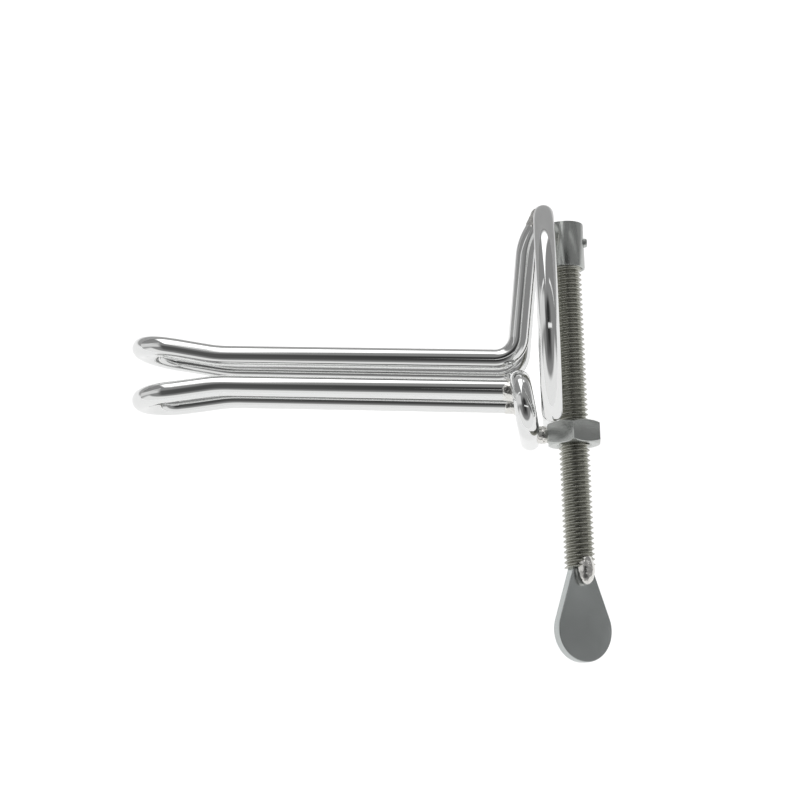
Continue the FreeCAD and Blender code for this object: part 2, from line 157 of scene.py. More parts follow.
class SpeculumStudio(bpy.types.PropertyGroup):
    camera_distance: length("Camera distance", "Camera to the point that it looks at", 0.314)
    camera_pitch: bpy.props.FloatProperty(
        name="Camera pitch", description="Turn of the camera towards the thumb tab",
        default=math.radians(11.3), subtype="ANGLE", unit="ROTATION",
    )
    camera_yaw: bpy.props.FloatProperty(
        name="Camera yaw", description="Turn of the camera towards the screw",
        default=math.radians(5.3), subtype="ANGLE", unit="ROTATION",
    )
    camera_roll: bpy.props.FloatProperty(
        name="Camera roll", description="Turn of the picture", default=math.radians(-1.5),
        subtype="ANGLE", unit="ROTATION",
    )
    room_grey: share("Room", "Brightness of the grey room on all sides", 0.28)
    room_dark: share("Room overhead", "Brightness of the dark overhead, where the camera hangs", 0.10)
    lens_dark: share("Above", "Brightness straight above, the darkest part of the room", 0.032)
    soft_box: share("Soft box", "Brightness of the soft box beyond the sleeve", 1.7, 4.0)
    low_light: share("Low light", "Brightness of the white board beyond the thumb tab", 0.92, 4.0)
    side_light: share("Side light", "Brightness of the pale board beyond the blade tips", 0.75, 4.0)
    lamp_light: share("Lamps", "Brightness of two thin lamps overhead", 1.0, 4.0)
    floor_glow: share("Floor glow", "Light that the floor gives off, as it is seen directly", 0.80, 4.0)
    floor_near: share("Floor in the steel", "The same, as the steel mirrors it", 0.60, 4.0)
    floor_far: share("Floor beyond the sleeve", "The same, beyond the sleeve", 0.0, 4.0)


# ---------------------------------------------------------------- mesh tools

def inner_edges(verts):
    """The edges that run between the given points."""
    chosen = set(verts)
    return [edge for edge in {e for v in chosen for e in v.link_edges} if chosen.issuperset(edge.verts)]


def verts_of(edges):
    return list({vert for edge in edges for vert in edge.verts})


def facing(direction):
    """The turn that takes Z to a direction."""
    return direction.to_track_quat("Z", "Y").to_matrix().to_4x4()


def start_rim(bm, centre, onward, radius=WIRE_RADIUS, sides=64):
    made = bmesh.ops.create_circle(
        bm, cap_ends=False, segments=sides, radius=radius, matrix=Matrix.Translation(centre) @ facing(onward)
    )
    return inner_edges(made["verts"])


def run_on(bm, rim, step):
    """Extrude a rim straight on; returns the new rim."""
    made = bmesh.ops.extrude_edge_only(bm, edges=rim)["geom"]
    verts = [part for part in made if isinstance(part, bmesh.types.BMVert)]
    bmesh.ops.translate(bm, verts=verts, vec=step)
    return inner_edges(verts)


def turn_on(bm, rim, centre, axis, angle, degrees_a_step=3.0):
    """Spin a rim on about an axis; returns the new rim."""
    steps = max(2, math.ceil(math.degrees(angle) / degrees_a_step))
    made = bmesh.ops.spin(
        bm, geom=rim + verts_of(rim), cent=centre, axis=axis, dvec=(0, 0, 0), angle=angle, steps=steps,
        use_merge=False, use_normal_flip=False, use_duplicate=False,
    )
    return inner_edges([part for part in made["geom_last"] if isinstance(part, bmesh.types.BMVert)])


def close_rim(bm, rim):
    bmesh.ops.edgeloop_fill(bm, edges=rim, mat_nr=0, use_smooth=False)


def round_off(bm, rim, centre, outward, radius, rings=14):
    """Close a rim with half a ball."""
    for ring in range(1, rings):
        before, after = ((ring + k) * math.pi / 2 / rings for k in (-1, 0))
        rim = run_on(bm, rim, outward * radius * (math.sin(after) - math.sin(before)))
        middle = centre + outward * radius * math.sin(after)
        bmesh.ops.scale(
            bm, verts=verts_of(rim), vec=Vector((1, 1, 1)) * (math.cos(after) / math.cos(before)),
            space=Matrix.Translation(-middle),
        )
    last = run_on(bm, rim, Vector((0, 0, 0)))
    bmesh.ops.pointmerge(bm, verts=verts_of(last), merge_co=centre + outward * radius)


def bend_wire(bm, corners, radii):
    """A round wire along straight runs, with an arc at each inner corner."""
    onward = (corners[1] - corners[0]).normalized()
    at = corners[0]
    first = rim = start_rim(bm, at, onward)
    for before, corner, after, radius in zip(corners, corners[1:], corners[2:], radii):
        back = (before - corner).normalized()
        onward = (after - corner).normalized()
        half = back.angle(onward) / 2
        reach = radius / math.tan(half)
        arc_start, arc_end = corner + back * reach, corner + onward * reach
        centre = corner + (back + onward).normalized() * (radius / math.sin(half))
        if (arc_start - at).length > 1e-6:
            rim = run_on(bm, rim, arc_start - at)
        axis = (arc_start - centre).cross(arc_end - centre).normalized()
        rim = turn_on(bm, rim, centre, axis, math.pi - 2 * half, 2.5)
        at = arc_end
    if (corners[-1] - at).length > 1e-6:
        rim = run_on(bm, rim, corners[-1] - at)
    close_rim(bm, first)
    close_rim(bm, rim)


def lathe(bm, outline, axis_point=Vector((0, 0, 0)), sides=96):
    """Turn an outline of (radius, height) pairs once round the screw's axis."""
    verts = [bm.verts.new(Vector((radius, height, 0)) + axis_point) for radius, height in outline]
    edges = [bm.edges.new(pair) for pair in zip(verts, verts[1:])]
    bmesh.ops.spin(
        bm, geom=verts + edges, cent=axis_point, axis=(0, 1, 0), dvec=(0, 0, 0), angle=2 * math.pi,
        steps=sides, use_merge=True, use_normal_flip=False, use_duplicate=False,
    )


def piece_collection():
    found = bpy.data.collections.get(PIECES)
    if found is None:
        found = bpy.data.collections.new(PIECES)
        bpy.context.scene.collection.children.link(found)
    return found


def finish_mesh(bm, name, smooth_angle=40.0):
    """Weld the seams, bring the shape to its place in metres and make it an object."""
    bmesh.ops.remove_doubles(bm, verts=bm.verts, dist=1e-4)
    bmesh.ops.recalc_face_normals(bm, faces=bm.faces)
    bmesh.ops.transform(
        bm, matrix=Matrix.Translation(ZERO) @ Matrix.Diagonal((MM, MM, MM, 1.0)), verts=bm.verts
    )
    mesh = bpy.data.meshes.new(name)
    bm.to_mesh(mesh)
    bm.free()
    mesh.shade_smooth()
    mesh.set_sharp_from_angle(angle=math.radians(smooth_angle))
    thing = bpy.data.objects.new(name, mesh)
    piece_collection().objects.link(thing)
    return thing


def apply_modifiers(thing, smooth_angle=40.0):
    """Keep the result of an object's modifiers as its own mesh."""
    seen = thing.evaluated_get(bpy.context.evaluated_depsgraph_get())
    mesh = bpy.data.meshes.new_from_object(seen)
    thing.modifiers.clear()
    thing.data = mesh
    mesh.shade_smooth()
    mesh.set_sharp_from_angle(angle=math.radians(smooth_angle))
    return thing


def settle(thing, node, body, material):
    """Give a piece its material and its body, and hide the CAD node that it stands for."""
    thing.data.materials.clear()
    thing.data.materials.append(material)
    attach(thing, body)
    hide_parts(node)
    return thing


# ---------------------------------------------------------------- effects

def new_group(name, inputs, outputs):
    """A shader node group with named sockets; returns it with its two end nodes."""
    group = bpy.data.node_groups.new(name, "ShaderNodeTree")
    for socket, kind, default in inputs:
        made = group.interface.new_socket(name=socket, in_out="INPUT", socket_type=kind)
        if default is not None:
            made.default_value = default
    for socket, kind in outputs:
        group.interface.new_socket(name=socket, in_out="OUTPUT", socket_type=kind)
    return group, group.nodes.new("NodeGroupInput"), group.nodes.new("NodeGroupOutput")


def node(tree, kind, **settings):
    made = tree.nodes.new(kind)
    for name, value in settings.items():
        if name in made.inputs:
            made.inputs[name].default_value = value
        else:
            setattr(made, name, value)
    return made


def join(tree, source, target):
    tree.links.new(source, target)


def maths(tree, operation, first, second):
    """A Math node; numbers are set and sockets are linked."""
    made = node(tree, "ShaderNodeMath", operation=operation)
    for socket, value in zip(made.inputs, (first, second)):
        if isinstance(value, bpy.types.NodeSocket):
            join(tree, value, socket)
        elif value is not None:
            socket.default_value = value
    return made.outputs[0]


def handling_marks():
    """Faint smears and fine scratches left by polishing and use: a roughness mask and a height."""
    found = bpy.data.node_groups.get("handling_marks")
    if found:
        return found
    group, start, end = new_group(
        "handling_marks",
        [("Vector", "NodeSocketVector", None), ("Smear size", "NodeSocketFloat", 260.0),
         ("Scratch size", "NodeSocketFloat", 2600.0), ("Low", "NodeSocketFloat", 0.04),
         ("High", "NodeSocketFloat", 0.10)],
        [("Roughness", "NodeSocketFloat"), ("Height", "NodeSocketFloat")],
    )
    smear = node(group, "ShaderNodeTexNoise", Detail=3.0, Roughness=0.55)
    scratch = node(group, "ShaderNodeTexNoise", Detail=4.0, Roughness=0.65, Distortion=0.6)
    spread = node(group, "ShaderNodeMapRange")
    spread.inputs["From Min"].default_value = 0.35
    spread.inputs["From Max"].default_value = 0.70
    join(group, start.outputs["Vector"], smear.inputs["Vector"])
    join(group, start.outputs["Vector"], scratch.inputs["Vector"])
    join(group, start.outputs["Smear size"], smear.inputs["Scale"])
    join(group, start.outputs["Scratch size"], scratch.inputs["Scale"])
    join(group, smear.outputs["Fac"], spread.inputs["Value"])
    join(group, start.outputs["Low"], spread.inputs["To Min"])
    join(group, start.outputs["High"], spread.inputs["To Max"])
    join(group, spread.outputs["Result"], end.inputs["Roughness"])
    join(group, scratch.outputs["Fac"], end.inputs["Height"])
    return group


def tool_lines():
    """Fine lines of turning or grinding along one direction, set by the vector's stretch."""
    found = bpy.data.node_groups.get("tool_lines")
    if found:
        return found
    group, start, end = new_group(
        "tool_lines",
        [("Vector", "NodeSocketVector", None), ("Stretch", "NodeSocketVector", (1.0, 1.0, 1.0)),
         ("Line size", "NodeSocketFloat", 4000.0), ("Dark", "NodeSocketColor", (0.4, 0.4, 0.4, 1.0)),
         ("Light", "NodeSocketColor", (0.5, 0.5, 0.5, 1.0))],
        [("Color", "NodeSocketColor"), ("Mask", "NodeSocketFloat"), ("Height", "NodeSocketFloat")],
    )
    stretch = node(group, "ShaderNodeVectorMath", operation="MULTIPLY")
    lines = node(group, "ShaderNodeTexNoise", Detail=3.0, Roughness=0.6)
    cloud = node(group, "ShaderNodeTexNoise", Scale=420.0, Detail=3.0, Roughness=0.6)
    blend = node(group, "ShaderNodeMix", data_type="RGBA")
    join(group, start.outputs["Vector"], stretch.inputs[0])
    join(group, start.outputs["Stretch"], stretch.inputs[1])
    join(group, stretch.outputs[0], lines.inputs["Vector"])
    join(group, start.outputs["Line size"], lines.inputs["Scale"])
    join(group, start.outputs["Vector"], cloud.inputs["Vector"])
    both = maths(group, "ADD", lines.outputs["Fac"], cloud.outputs["Fac"])
    mask = maths(group, "MULTIPLY", both, 0.5)
    join(group, mask, blend.inputs["Factor"])
    join(group, start.outputs["Dark"], blend.inputs[6])
    join(group, start.outputs["Light"], blend.inputs[7])
    join(group, blend.outputs[2], end.inputs["Color"])
    join(group, mask, end.inputs["Mask"])
    join(group, lines.outputs["Fac"], end.inputs["Height"])
    return group


def new_material(name):
    material = bpy.data.materials.new(name)
    material.use_nodes = True
    tree = material.node_tree
    shader = tree.nodes["Principled BSDF"]
    place = node(tree, "ShaderNodeTexCoord")
    return material, tree, shader, place.outputs["Object"]


def use_group(tree, group, vector, **values):
    made = node(tree, "ShaderNodeGroup", node_tree=group)
    join(tree, vector, made.inputs["Vector"])
    for name, value in values.items():
        made.inputs[name.replace("_", " ")].default_value = value
    return made


def add_bump(tree, shader, height, strength, distance):
    bump = node(tree, "ShaderNodeBump", Strength=strength, Distance=distance)
    join(tree, height, bump.inputs["Height"])
    join(tree, bump.outputs["Normal"], shader.inputs["Normal"])
    return bump


def vary_roughness(tree, shader, mask, low, high):
    """Let a mask of 0 to 1 move the roughness between two values."""
    rough = node(tree, "ShaderNodeMapRange")
    rough.inputs["To Min"].default_value = low
    rough.inputs["To Max"].default_value = high
    join(tree, mask, rough.inputs["Value"])
    join(tree, rough.outputs["Result"], shader.inputs["Roughness"])


def tinted(value, factor):
    return (value[0] * factor, value[1] * factor, value[2] * factor, 1.0)


def polished_wire():
    """Mirror-polished steel with faint smears."""
    found = bpy.data.materials.get("polished_wire_steel")
    if found:
        return found
    finish = bpy.context.scene.speculum_finish
    material, tree, shader, place = new_material("polished_wire_steel")
    shader.inputs["Metallic"].default_value = 1.0
    shader.inputs["Base Color"].default_value = tinted(finish.wire_colour, 1.0)
    gloss = finish.wire_gloss
    marks = use_group(tree, handling_marks(), place, Low=gloss * 0.6, High=gloss * 1.5)
    join(tree, marks.outputs["Roughness"], shader.inputs["Roughness"])
    add_bump(tree, shader, marks.outputs["Height"], 0.06, 0.00002)
    return material


def lined_steel(name, base, gloss, stretch, strength, size=4000.0):
    """Machined steel with lines in one direction and a cloudy satin."""
    material, tree, shader, place = new_material(name)
    shader.inputs["Metallic"].default_value = 1.0
    lines = use_group(
        tree, tool_lines(), place, Stretch=stretch, Line_size=size,
        Dark=tinted(base, 0.86), Light=tinted(base, 1.14),
    )
    join(tree, lines.outputs["Color"], shader.inputs["Base Color"])
    vary_roughness(tree, shader, lines.outputs["Mask"], gloss * 0.7, gloss * 1.3)
    add_bump(tree, shader, lines.outputs["Height"], strength, 0.00003)
    return material


def bead_metal():
    """Bright filler metal, drawn into small ripples as it set."""
    found = bpy.data.materials.get("bead_metal")
    if found:
        return found
    finish = bpy.context.scene.speculum_finish
    material, tree, shader, place = new_material("bead_metal")
    shader.inputs["Metallic"].default_value = 1.0
    lines = use_group(
        tree, tool_lines(), place, Stretch=(1.0, 1.0, 1.0), Line_size=1500.0,
        Dark=tinted(finish.braze_colour, 0.75), Light=tinted(finish.braze_colour, 1.1),
    )
    join(tree, lines.outputs["Color"], shader.inputs["Base Color"])
    vary_roughness(tree, shader, lines.outputs["Mask"], finish.braze_gloss * 0.6, finish.braze_gloss * 1.8)
    add_bump(tree, shader, lines.outputs["Height"], 0.55, 0.00012)
    return material


# ---------------------------------------------------------------- wires

def leg_corner(x, side, stand_out):
    """A point of a blade's near leg; side is 1 for the upper blade and -1 for the lower."""
    part = (ROOT_X - x) / BLADE_REACH
    spread = ROOT_SPREAD + (TIP_SPREAD - ROOT_SPREAD) * part
    return Vector((x, side * (BLADE_OFFSET + stand_out) + (ROOT_X - x) * LEAN, spread / 2))


def blade_tip(side):
    """The corners of a blade's flared tip and their radii."""
    tip_x = ROOT_X - BLADE_REACH
    flare_x = tip_x + FLARE_START
    corners = [
        leg_corner(flare_x, side, 0),
        leg_corner(flare_x - FLARE_RUN, side, FLARE_RISE),
        leg_corner(tip_x, side, TIP_RISE),
    ]
    half = (corners[1] - corners[2]).angle(Vector((0, 0, -1))) / 2
    return corners, [FLARE_BEND, FLARE_BEND, corners[2].z * math.tan(half)]


def lower_foot():
    """Where the lower blade's near leg meets the leaning loop."""
    up = -BLADE_OFFSET - LOOP_Y
    return leg_corner(LOOP_X - up * math.tan(LOOP_LEAN), -1, 0)


def far_side(corners):
    return [Vector((corner.x, corner.y, -corner.z)) for corner in reversed(corners)]


def riser_corners():
    root = leg_corner(ROOT_X, 1, 0)
    bend_x = root.x + RISER_HEIGHT * math.tan(math.radians(RISER_LEAN))
    bend = Vector((bend_x, root.y + RISER_HEIGHT, root.z))
    top = Vector((RING_X, RING_Y + math.sqrt(RING_RADIUS ** 2 - root.z ** 2), root.z))
    return [top, bend, root]


class SPECULUM_OT_blades(bpy.types.Operator):
    """Bend the two hairpin blades; the upper one goes on into the risers"""
    bl_idname = "speculum.blades"
    bl_label = "Blades"

    def execute(self, context):
        corners, radii = blade_tip(1)
        near = riser_corners() + corners
        radii = [RISER_BEND, ELBOW_BEND] + radii
        bm = bmesh.new()
        bend_wire(bm, near + far_side(near), radii + radii[::-1])
        wire = finish_mesh(bm, "wire_upper_blade")
        settle(wire, "upper_blade", "upper_frame", polished_wire())
        corners, radii = blade_tip(-1)
        near = [lower_foot()] + corners
        bm = bmesh.new()
        bend_wire(bm, near + far_side(near), radii + radii[::-1])
        wire = finish_mesh(bm, "wire_lower_blade")
        settle(wire, "lower_blade", "lower_frame", polished_wire())
        return {"FINISHED"}


class SPECULUM_OT_rings(bpy.types.Operator):
    """Bend the open ring of the upper frame and the closed loop of the lower one"""
    bl_idname = "speculum.rings"
    bl_label = "Ring and loop"

    def execute(self, context):
        half = math.radians(RING_MOUTH / 2)
        centre = Vector((RING_X, RING_Y, 0))
        end = centre + Vector((0, -math.cos(half), math.sin(half))) * RING_RADIUS
        outward = Vector((0, -math.sin(half), -math.cos(half)))
        bm = bmesh.new()
        first = start_rim(bm, end, outward)
        last = turn_on(bm, first, centre, (-1, 0, 0), math.radians(360 - RING_MOUTH), 2.0)
        round_off(bm, first, end, outward, WIRE_RADIUS)
        far_end = Vector((end.x, end.y, -end.z))
        round_off(bm, last, far_end, Vector((0, outward.y, -outward.z)), WIRE_RADIUS)
        settle(finish_mesh(bm, "wire_ring"), "frame_ring", "upper_frame", polished_wire())
        bend = LOOP_HEIGHT / 2
        straight = LOOP_WIDTH / 2 - bend
        bm = bmesh.new()
        rim = start_rim(bm, Vector((LOOP_X, LOOP_Y + bend, 0)), Vector((0, 0, 1)))
        rim = run_on(bm, rim, Vector((0, 0, straight)))
        rim = turn_on(bm, rim, Vector((LOOP_X, LOOP_Y, straight)), (1, 0, 0), math.pi, 2.5)
        rim = run_on(bm, rim, Vector((0, 0, -2 * straight)))
        rim = turn_on(bm, rim, Vector((LOOP_X, LOOP_Y, -straight)), (1, 0, 0), math.pi, 2.5)
        run_on(bm, rim, Vector((0, 0, straight)))
        bmesh.ops.rotate(
            bm, verts=bm.verts, cent=(LOOP_X, LOOP_Y, 0), matrix=Matrix.Rotation(LOOP_LEAN, 3, "Z")
        )
        settle(finish_mesh(bm, "wire_loop"), "lower_loop", "lower_frame", polished_wire())
        return {"FINISHED"}


# ---------------------------------------------------------------- machined pieces

def screw_steel():
    found = bpy.data.materials.get("screw_steel")
    finish = bpy.context.scene.speculum_finish
    return found or lined_steel("screw_steel", finish.screw_colour, finish.screw_gloss, (1.0, 3.0, 1.0), 0.3)


def turned_steel():
    found = bpy.data.materials.get("turned_steel")
    finish = bpy.context.scene.speculum_finish
    return found or lined_steel("turned_steel", finish.sleeve_colour, finish.sleeve_gloss, (1.0, 6.0, 1.0), 0.18)


def tab_steel():
    found = bpy.data.materials.get("tab_steel")
    finish = bpy.context.scene.speculum_finish
    return found or lined_steel("tab_steel", finish.tab_colour, finish.tab_gloss, (4.0, 1.0, 4.0), 0.12)


class SPECULUM_OT_screw(bpy.types.Operator):
    """Cut the screw with its thread, its plain end and the groove for the pin"""
    bl_idname = "speculum.screw"
    bl_label = "Screw"

    def execute(self, context):
        sizes = context.scene.speculum_sizes
        pitch, depth = sizes.thread_pitch / MM, sizes.thread_depth / MM
        crest, root, steps = SCREW_RADIUS, SCREW_RADIUS - depth, 72
        thread_top = SLEEVE_FOOT - 0.05
        bm = bmesh.new()
        outline = [
            (crest - 0.05, 0.0), (crest, 0.04), (crest, 0.10), (crest - 0.05, 0.14),
            (root + 0.10, 0.43), (root, 0.50), (root, 0.64), (root + 0.10, 0.71), (crest - 0.05, 1.0),
        ]
        turns = math.ceil((thread_top - THREAD_END) / pitch) + 3
        foot = THREAD_END - 1.5 * pitch
        verts = [bm.verts.new((radius, foot + height * pitch, 0)) for radius, height in outline]
        for pair in zip(verts, verts[1:]):
            bm.edges.new(pair)
        tooth = verts + list(bm.edges)
        for number in range(1, turns):
            copy = bmesh.ops.duplicate(bm, geom=tooth)["geom"]
            bmesh.ops.translate(
                bm, verts=[part for part in copy if isinstance(part, bmesh.types.BMVert)],
                vec=(0, number * pitch, 0),
            )
        bmesh.ops.remove_doubles(bm, verts=bm.verts, dist=1e-4)
        bmesh.ops.spin(
            bm, geom=list(bm.verts) + list(bm.edges), cent=(0, 0, 0), axis=(0, 1, 0),
            dvec=(0, pitch / steps, 0), angle=2 * math.pi, steps=steps,
            use_merge=False, use_normal_flip=False, use_duplicate=False,
        )
        bmesh.ops.remove_doubles(bm, verts=bm.verts, dist=1e-3)
        for height, side in ((THREAD_END, -1), (thread_top, 1)):
            cut = bmesh.ops.bisect_plane(
                bm, geom=list(bm.verts) + list(bm.edges) + list(bm.faces), dist=1e-6,
                plane_co=(0, height, 0), plane_no=(0, side, 0), clear_outer=True, clear_inner=False,
            )
            rim = [part for part in cut["geom_cut"] if isinstance(part, bmesh.types.BMEdge)]
            bmesh.ops.holes_fill(bm, edges=rim, sides=0)
        low = PIN_HEIGHT - PIN_RADIUS - GROOVE_SIDE_GAP
        high = PIN_HEIGHT + PIN_RADIUS + GROOVE_SIDE_GAP
        lathe(bm, [
            (0.0, thread_top - 0.6), (2.3, thread_top - 0.6), (2.85, thread_top - 0.1),
            (SCREW_RADIUS, thread_top + 0.05), (SCREW_RADIUS, low), (GROOVE_RADIUS, low), (GROOVE_RADIUS, high),
            (SCREW_RADIUS, high), (SCREW_RADIUS, JOURNAL_TOP - 0.5), (2.5, JOURNAL_TOP), (0.0, JOURNAL_TOP),
        ], sides=steps)
        settle(
            finish_mesh(bm, "screw", 55.0), "threaded_spindle", "spindle", screw_steel()
        )
        return {"FINISHED"}


class SPECULUM_OT_sleeve(bpy.types.Operator):
    """Turn the swivel sleeve and its pin"""
    bl_idname = "speculum.sleeve"
    bl_label = "Sleeve and pin"

    def execute(self, context):
        top = SLEEVE_FOOT + SLEEVE_LENGTH
        bore_top = top - SLEEVE_CAP
        bm = bmesh.new()
        lathe(bm, [
            (0.0, bore_top), (BORE_RADIUS, bore_top), (BORE_RADIUS, SLEEVE_FOOT + 0.3),
            (BORE_RADIUS + 0.3, SLEEVE_FOOT), (SLEEVE_RADIUS - 0.25, SLEEVE_FOOT),
            (SLEEVE_RADIUS - 0.06, SLEEVE_FOOT + 0.09), (SLEEVE_RADIUS, SLEEVE_FOOT + 0.3),
            (SLEEVE_RADIUS, top - 0.16), (SLEEVE_RADIUS - 0.05, top - 0.05), (SLEEVE_RADIUS - 0.16, top),
            (0.0, top),
        ], sides=128)
        sleeve = finish_mesh(bm, "sleeve", 30.0)
        settle(sleeve, "swivel_sleeve", "upper_frame", turned_steel())
        bm = bmesh.new()
        spot = Vector((PIN_TIP, PIN_HEIGHT, 0))
        rim = start_rim(bm, spot, Vector((1, 0, 0)), PIN_RADIUS, 40)
        first = rim
        for reach, factor in ((PIN_END - PIN_TIP - 0.3, 1.0), (0.18, 0.93), (0.12, 0.66)):
            spot = spot + Vector((reach, 0, 0))
            rim = run_on(bm, rim, Vector((reach, 0, 0)))
            bmesh.ops.scale(bm, verts=verts_of(rim), vec=(1, factor, factor), space=Matrix.Translation(-spot))
        close_rim(bm, first)
        close_rim(bm, rim)
        settle(finish_mesh(bm, "pin", 50.0), "retaining_pin", "upper_frame", turned_steel())
        return {"FINISHED"}


class SPECULUM_OT_nut(bpy.types.Operator):
    """Shape the hexagon nut: a six-sided bar, chamfered by a drum and bored"""
    bl_idname = "speculum.nut"
    bl_label = "Nut"

    def execute(self, context):
        foot = NUT_TOP - NUT_HEIGHT
        corner = NUT_FLATS / 2 / math.cos(math.radians(30))
        bm = bmesh.new()
        made = bmesh.ops.create_circle(
            bm, cap_ends=True, segments=6, radius=corner,
            matrix=Matrix.Translation((0, foot, 0)) @ Matrix.Rotation(math.radians(-90), 4, "X"),
        )
        lifted = bmesh.ops.extrude_face_region(bm, geom=list(bm.faces))
        bmesh.ops.translate(
            bm, verts=[part for part in lifted["geom"] if isinstance(part, bmesh.types.BMVert)],
            vec=(0, NUT_HEIGHT, 0),
        )
        if len(made["verts"]) != 6:
            raise RuntimeError("the nut's bar needs six sides")
        bar = finish_mesh(bm, "nut")
        bm = bmesh.new()
        wide = NUT_FACE + NUT_CHAMFER * math.tan(math.radians(60))
        mouth = BORE_RADIUS + BORE_CHAMFER
        lathe(bm, [
            (BORE_RADIUS, foot + BORE_CHAMFER), (mouth, foot - DRUM_GAP), (NUT_FACE, foot - DRUM_GAP),
            (wide, foot + NUT_CHAMFER), (wide, NUT_TOP - NUT_CHAMFER), (NUT_FACE, NUT_TOP + DRUM_GAP),
            (mouth, NUT_TOP + DRUM_GAP), (BORE_RADIUS, NUT_TOP - BORE_CHAMFER), (BORE_RADIUS, foot + BORE_CHAMFER),
        ], sides=144)
        drum = finish_mesh(bm, "nut_drum")
        trim = bar.modifiers.new("Chamfer", "BOOLEAN")
        trim.operation = "INTERSECT"
        trim.solver = "EXACT"
        trim.object = drum
        soften = bar.modifiers.new("Edges", "BEVEL")
        soften.width = context.scene.speculum_sizes.edge_round * 0.6
        soften.segments = 3
        soften.limit_method = "ANGLE"
        soften.angle_limit = math.radians(25)
        apply_modifiers(bar, 30.0)
        bpy.data.objects.remove(drum)
        settle(bar, "hex_nut", "lower_frame", turned_steel())
        return {"FINISHED"}


class SPECULUM_OT_tab(bpy.types.Operator):
    """Cut the teardrop thumb tab from plate and round its edges"""
    bl_idname = "speculum.tab"
    bl_label = "Thumb tab"

    def execute(self, context):
        distance = math.hypot(TAB_NECK, TAB_FALL)
        touch = math.atan2(TAB_FALL, TAB_NECK) - math.acos(TAB_RADIUS / distance)
        centre = Vector((0, THREAD_END - TAB_FALL, 0))
        right = centre + Vector((math.cos(touch), math.sin(touch), 0)) * TAB_RADIUS
        bm = bmesh.new()
        start = bm.verts.new(right)
        arc = bmesh.ops.spin(
            bm, geom=[start], cent=centre, axis=(0, 0, -1), dvec=(0, 0, 0),
            angle=math.pi + 2 * touch, steps=72, use_merge=False, use_normal_flip=False, use_duplicate=False,
        )
        left = [part for part in arc["geom_last"] if isinstance(part, bmesh.types.BMVert)][0]
        neck = [bm.verts.new((side * TAB_NECK, THREAD_END, 0)) for side in (-1, 1)]
        for pair in ((left, neck[0]), (neck[0], neck[1]), (neck[1], start)):
            bm.edges.new(pair)
        bmesh.ops.contextual_create(bm, geom=list(bm.edges), mat_nr=0, use_smooth=False)
        bmesh.ops.translate(bm, verts=bm.verts, vec=(0, 0, -TAB_THICK / 2))
        lifted = bmesh.ops.extrude_face_region(bm, geom=list(bm.faces))
        bmesh.ops.translate(
            bm, verts=[part for part in lifted["geom"] if isinstance(part, bmesh.types.BMVert)],
            vec=(0, 0, TAB_THICK),
        )
        rims = [edge for edge in bm.edges if abs(edge.verts[0].co.z - edge.verts[1].co.z) < 1e-6]
        bmesh.ops.bevel(
            bm, geom=rims, offset=context.scene.speculum_sizes.edge_round / MM, offset_type="OFFSET",
            segments=4, profile=0.5, affect="EDGES", clamp_overlap=True, material=-1,
        )
        bmesh.ops.rotate(bm, verts=bm.verts, cent=(0, 0, 0), matrix=Matrix.Rotation(TAB_TURN, 3, "Y"))
        settle(finish_mesh(bm, "tab", 35.0), "thumb_tab", "spindle", tab_steel())
        return {"FINISHED"}


# ---------------------------------------------------------------- welds and braze

def roughen(bm, lumps, grain, seed):
    """Push the points of a bead in and out, as filler metal sets."""
    bm.normal_update()
    shift = Vector((seed * 7.3, seed * 3.1, seed * 5.7))
    for vert in bm.verts:
        vert.co += vert.normal * lumps * noise.fractal(vert.co / grain + shift, 0.8, 2.1, 4)


def ball_bead(bm, centre, reaches, lumps, grain, seed, turn=None):
    """An oval blob of braze."""
    placing = Matrix.Translation(centre) @ (turn or Matrix.Identity(4)) @ Matrix.Diagonal((*reaches, 1.0))
    bmesh.ops.create_icosphere(bm, subdivisions=5, radius=1.0, matrix=placing)
    bmesh.ops.recalc_face_normals(bm, faces=bm.faces)
    roughen(bm, lumps, grain, seed)


# A weld collar's outline: the way along the wire and the radius there, in millimetres
COLLAR = ((0.0, 1.97), (0.3, 2.05), (1.0, 2.13), (1.8, 2.2), (2.6, 2.3), (3.1, 2.34), (3.6, 2.3))
COLLAR_STEPS = 4


def collar_bead(bm, joint, before, lumps, grain, seed):
    """A weld round a wire's end: it swells towards the joint."""
    onward = (joint - before).normalized()
    long = COLLAR[-1][0]
    part = bmesh.new()
    rim = start_rim(part, joint - onward * long, onward, COLLAR[0][1], 72)
    first = rim
    for (reach, radius), (next_reach, next_radius) in zip(COLLAR, COLLAR[1:]):
        for step in range(1, COLLAR_STEPS + 1):
            spot = joint - onward * (long - reach - (next_reach - reach) * step / COLLAR_STEPS)
            now = radius + (next_radius - radius) * step / COLLAR_STEPS
            was = radius + (next_radius - radius) * (step - 1) / COLLAR_STEPS
            rim = run_on(part, rim, onward * (next_reach - reach) / COLLAR_STEPS)
            bmesh.ops.scale(
                part, verts=verts_of(rim), vec=Vector((1, 1, 1)) * (now / was), space=Matrix.Translation(-spot)
            )
    close_rim(part, first)
    close_rim(part, rim)
    bmesh.ops.recalc_face_normals(part, faces=part.faces)
    roughen(part, lumps, grain, seed)
    add_mesh(bm, part)


def add_mesh(bm, part):
    """Put one bmesh into another."""
    mesh = bpy.data.meshes.new("part")
    part.to_mesh(mesh)
    part.free()
    bm.from_mesh(mesh)
    bpy.data.meshes.remove(mesh)


